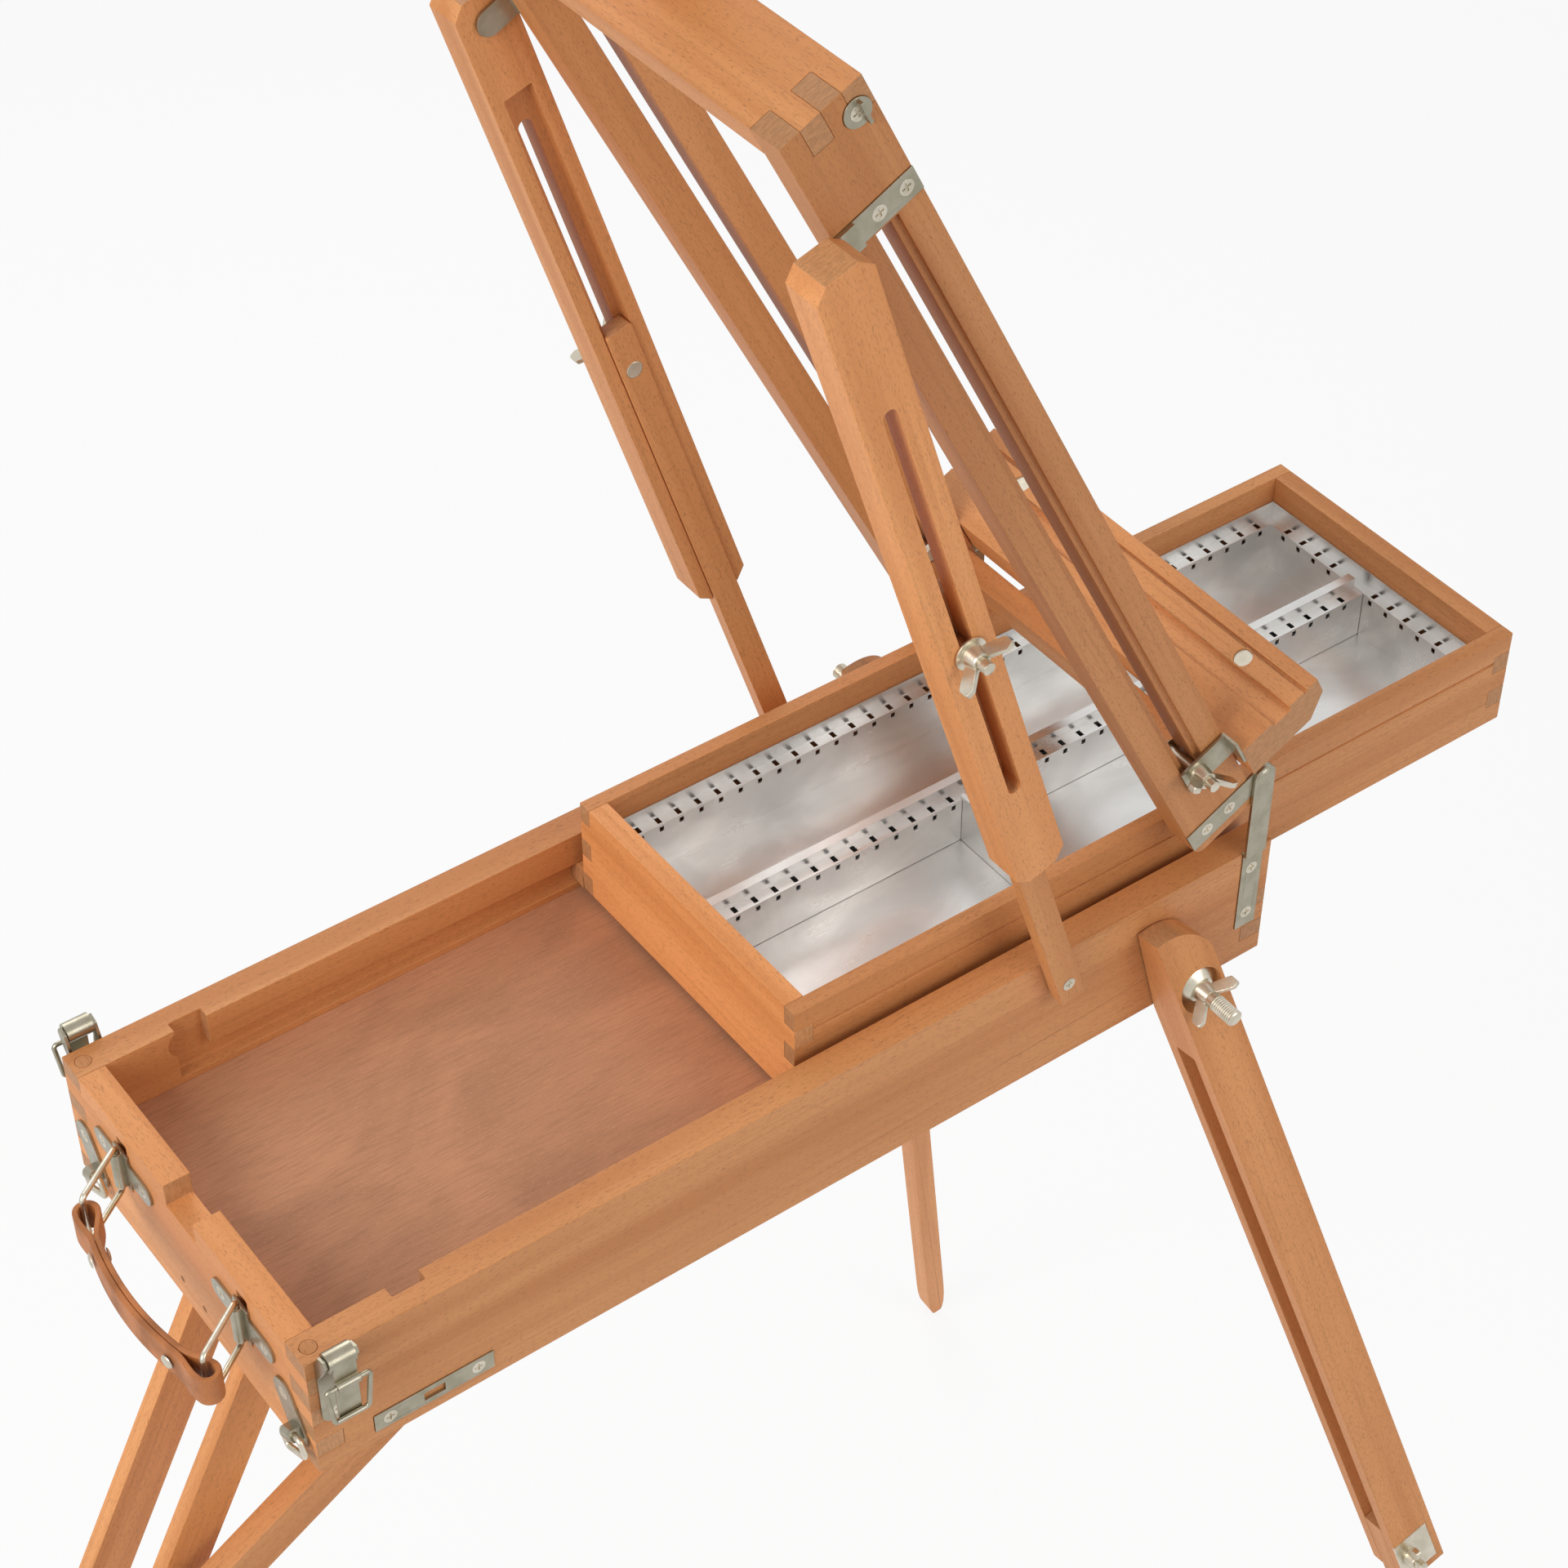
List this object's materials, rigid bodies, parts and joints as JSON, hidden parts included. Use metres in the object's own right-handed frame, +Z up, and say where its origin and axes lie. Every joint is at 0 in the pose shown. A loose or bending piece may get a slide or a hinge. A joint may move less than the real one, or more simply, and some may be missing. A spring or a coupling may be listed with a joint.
{
  "type": "french easel",
  "caption": "Portable sketch-box easel with folding telescopic legs, raised canvas frame, lined drawer and carrying handle.",
  "frame": {"origin": "on the ground under the middle of the whole easel", "axes": "+X from the handle end towards the drawer end, +Y across the box, +Z up"},
  "size_m": [1.1472, 0.6788, 1.7307],
  "materials": {
    "beech": "satin lacquered beech",
    "plywood": "matt reddish plywood",
    "sheet_lining": "bright sheet",
    "steel": "zinc-plated",
    "leather": "smooth tan"
  },
  "bodies": {
    "box": {"box_near_side": "beech", "box_far_side": "beech", "box_handle_end": "beech", "box_hinge_end": "beech", "box_floor": "plywood", "box_dowels": "beech", "box_hinge_straps": "steel", "box_screws": "steel", "leg_bolts": "steel", "rear_leg_blocks": "beech", "rear_fittings": "steel", "handle_plates": "steel", "ring_plates": "steel", "latch_plates": "steel"},
    "lid": {"lid_near_rail": "beech", "lid_far_rail": "beech", "lid_top_rail": "beech", "lid_foot_rail": "beech", "lid_hinge_straps": "steel", "lid_plates": "steel", "lid_screws": "steel", "mast_clamp": "steel"},
    "ledge": {"canvas_ledge": "beech", "ledge_brackets": "steel", "ledge_hardware": "steel"},
    "mast": {"mast": "beech", "upper_canvas_clamp": "beech"},
    "stay_arm_near": {"stay_arm_near": "beech", "stay_clamp_near": "steel"},
    "stay_arm_far": {"stay_arm_far": "beech", "stay_clamp_far": "steel"},
    "stay_near": {"stay_near": "beech", "stay_pin_near": "steel"},
    "stay_far": {"stay_far": "beech", "stay_pin_far": "steel"},
    "front_leg_near": {"front_leg_near": "beech", "foot_clamp_near": "steel"},
    "front_leg_far": {"front_leg_far": "beech", "foot_clamp_far": "steel"},
    "front_foot_near": {"front_foot_near": "beech"},
    "front_foot_far": {"front_foot_far": "beech"},
    "rear_leg": {"rear_leg": "beech", "rear_leg_hardware": "steel"},
    "rear_foot": {"rear_foot": "beech"},
    "brace": {"brace": "beech"},
    "drawer": {"drawer_near_side": "beech", "drawer_far_side": "beech", "drawer_inner_end": "beech", "drawer_outer_end": "beech", "drawer_base": "plywood", "drawer_lining": "sheet_lining", "long_divider": "sheet_lining"},
    "cross_divider": {"cross_divider": "sheet_lining"},
    "bail_near": {"bail_near": "steel"},
    "bail_far": {"bail_far": "steel"},
    "handle_grip": {"handle_grip": "leather"},
    "latch_near": {"latch_near": "steel"},
    "latch_far": {"latch_far": "steel"},
    "strap_ring_near": {"strap_ring_near": "steel"},
    "strap_ring_far": {"strap_ring_far": "steel"}
  },
  "joints": [
    {"name": "drawer_slide", "type": "slide", "parent": "box", "child": "drawer", "axis": [1, 0, 0], "range_m": [-0.183, 0.15]},
    {"name": "cross_divider_lift", "type": "slide", "parent": "drawer", "child": "cross_divider", "axis": [0, 0, 1], "range_m": [0, 0.04]},
    {"name": "lid_hinge", "type": "hinge", "parent": "box", "child": "lid", "pos_m": [0.37807, -0.1105, 0.98497], "axis": [0, 1, 0], "range_deg": [-63, 20]},
    {"name": "ledge_slide", "type": "slide", "parent": "lid", "child": "ledge", "axis": [-0.454, 0, 0.891], "range_m": [0, 0.25]},
    {"name": "mast_slide", "type": "slide", "parent": "lid", "child": "mast", "axis": [0.454, 0, -0.891], "range_m": [0, 0.235]},
    {"name": "rear_leg_fold", "type": "hinge", "parent": "box", "child": "rear_leg", "pos_m": [-0.12083, 0, 0.87797], "axis": [0, 1, 0], "range_deg": [-112, 0]},
    {"name": "rear_foot_slide", "type": "slide", "parent": "rear_leg", "child": "rear_foot", "axis": [0.454, 0, 0.891], "range_m": [0, 0.38]},
    {"name": "brace_swing", "type": "hinge", "parent": "rear_leg", "child": "brace", "pos_m": [-0.20391, 0, 0.71492], "axis": [0, 1, 0], "range_deg": [0, 142]},
    {"name": "stay_arm_near_swing", "type": "hinge", "parent": "box", "child": "stay_arm_near", "pos_m": [0.25357, -0.1105, 0.92397], "axis": [0, 1, 0], "range_deg": [-73, 23.5]},
    {"name": "stay_near_slide", "type": "slide", "parent": "stay_arm_near", "child": "stay_near", "axis": [-0.3046, 0, 0.9525], "range_m": [-0.1325, 0.045]},
    {"name": "front_leg_near_fold", "type": "hinge", "parent": "box", "child": "front_leg_near", "pos_m": [0.32757, -0.1105, 0.88777], "axis": [0, 1, 0], "range_deg": [0, 105]},
    {"name": "front_foot_near_slide", "type": "slide", "parent": "front_leg_near", "child": "front_foot_near", "axis": [-0.2522, 0.225, 0.9412], "range_m": [0, 0.385]},
    {"name": "latch_near_swing", "type": "hinge", "parent": "box", "child": "latch_near", "pos_m": [-0.14643, -0.118, 0.93997], "axis": [-1, 0, 0], "range_deg": [0, 150]},
    {"name": "strap_ring_near_swing", "type": "hinge", "parent": "box", "child": "strap_ring_near", "pos_m": [-0.16419, -0.09623, 0.87703], "axis": [0, 0.8829, -0.4695], "range_deg": [-5, 165]},
    {"name": "stay_arm_far_swing", "type": "hinge", "parent": "box", "child": "stay_arm_far", "pos_m": [0.25357, 0.1105, 0.92397], "axis": [0, 1, 0], "range_deg": [-73, 23.5]},
    {"name": "stay_far_slide", "type": "slide", "parent": "stay_arm_far", "child": "stay_far", "axis": [-0.3046, 0, 0.9525], "range_m": [-0.1325, 0.045]},
    {"name": "front_leg_far_fold", "type": "hinge", "parent": "box", "child": "front_leg_far", "pos_m": [0.32757, 0.1105, 0.88777], "axis": [0, 1, 0], "range_deg": [0, 105]},
    {"name": "front_foot_far_slide", "type": "slide", "parent": "front_leg_far", "child": "front_foot_far", "axis": [-0.2522, -0.225, 0.9412], "range_m": [0, 0.385]},
    {"name": "latch_far_swing", "type": "hinge", "parent": "box", "child": "latch_far", "pos_m": [-0.14643, 0.118, 0.93997], "axis": [1, 0, 0], "range_deg": [0, 150]},
    {"name": "strap_ring_far_swing", "type": "hinge", "parent": "box", "child": "strap_ring_far", "pos_m": [-0.16419, 0.08778, 0.87703], "axis": [0, 0.8829, -0.4695], "range_deg": [-5, 165]},
    {"name": "bail_near_swing", "type": "hinge", "parent": "box", "child": "bail_near", "pos_m": [-0.16259, -0.055, 0.91097], "axis": [0, 0, 1], "range_deg": [-102, 32]},
    {"name": "handle_grip_swing", "type": "hinge", "parent": "bail_near", "child": "handle_grip", "pos_m": [-0.18897, -0.07347, 0.91097], "axis": [0, 0, 1], "range_deg": [-32.5, 102.5]},
    {"name": "bail_far_swing", "type": "hinge", "parent": "box", "child": "bail_far", "pos_m": [-0.16259, 0.055, 0.91097], "axis": [0, 0, 1], "range_deg": [-102.5, 32.5]}
  ],
  "couplings": [
    {"joint": "brace_swing", "follows": "rear_leg_fold", "ratio": -1.267},
    {"joint": "handle_grip_swing", "follows": "bail_near_swing", "ratio": -1},
    {"joint": "bail_far_swing", "follows": "bail_near_swing", "ratio": 1},
    {"joint": "stay_arm_near_swing", "follows": "lid_hinge", "ratio": 1.1471},
    {"joint": "stay_near_slide", "follows": "lid_hinge", "m_per_rad": 0.11697},
    {"joint": "stay_arm_far_swing", "follows": "lid_hinge", "ratio": 1.1471},
    {"joint": "stay_far_slide", "follows": "lid_hinge", "m_per_rad": 0.11697}
  ]
}
